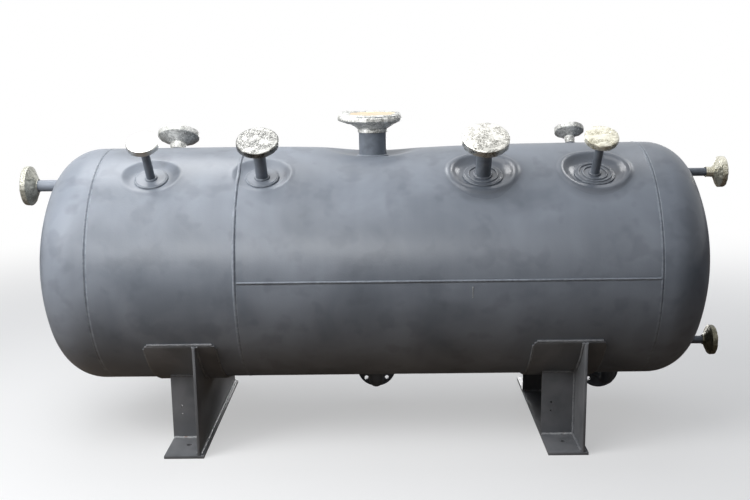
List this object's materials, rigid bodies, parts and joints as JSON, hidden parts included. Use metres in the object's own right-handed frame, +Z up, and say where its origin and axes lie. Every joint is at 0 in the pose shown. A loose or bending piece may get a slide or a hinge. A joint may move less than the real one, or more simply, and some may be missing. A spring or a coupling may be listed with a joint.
{
  "type": "horizontal pressure vessel",
  "caption": "Horizontal steel pressure vessel with dished heads on two welded saddles, with flanged nozzles on its top, ends and underside, the upper ones wrapped in foil.",
  "frame": {"origin": "on the ground, in the middle of the four anchor holes of the two saddles", "axes": "+X along the vessel towards the end with two nozzles, +Y to the side that the bottom outlets face, +Z up"},
  "size_m": [2.7614, 0.921, 1.2433],
  "materials": {
    "painted_steel": "satin grey primer paint over steel plate, uneven",
    "weld": "satin grey primer paint over weld metal",
    "foil": "crinkled household foil, bright"
  },
  "bodies": {
    "root": {"short_course": "painted_steel", "long_course": "painted_steel", "left_head": "painted_steel", "right_head": "painted_steel", "left_girth_weld": "weld", "middle_girth_weld": "weld", "right_girth_weld": "weld", "seam_welds": "weld", "left_saddle_base": "painted_steel", "left_saddle_web": "painted_steel", "left_saddle_ribs": "painted_steel", "left_saddle_wrapper": "painted_steel", "right_saddle_base": "painted_steel", "right_saddle_web": "painted_steel", "right_saddle_ribs": "painted_steel", "right_saddle_wrapper": "painted_steel", "reinforcing_pads": "painted_steel", "nozzle_welds": "weld", "front_outer_left_neck": "painted_steel", "front_outer_left_flange": "painted_steel", "front_inner_left_neck": "painted_steel", "front_inner_left_flange": "painted_steel", "front_inner_right_neck": "painted_steel", "front_inner_right_flange": "painted_steel", "front_outer_right_neck": "painted_steel", "front_outer_right_flange": "painted_steel", "rear_left_neck": "painted_steel", "rear_left_flange": "painted_steel", "rear_right_neck": "painted_steel", "rear_right_flange": "painted_steel", "crown_neck": "painted_steel", "crown_flange": "painted_steel", "left_end_neck": "painted_steel", "left_end_flange": "painted_steel", "right_upper_neck": "painted_steel", "right_upper_flange": "painted_steel", "right_lower_neck": "painted_steel", "right_lower_flange": "painted_steel", "middle_outlet_elbow": "painted_steel", "middle_outlet_flange": "painted_steel", "right_outlet_elbow": "painted_steel", "right_outlet_flange": "painted_steel", "front_foil_wraps": "foil", "upper_foil_wraps": "foil", "end_foil_wraps": "foil"}
  },
  "joints": []
}
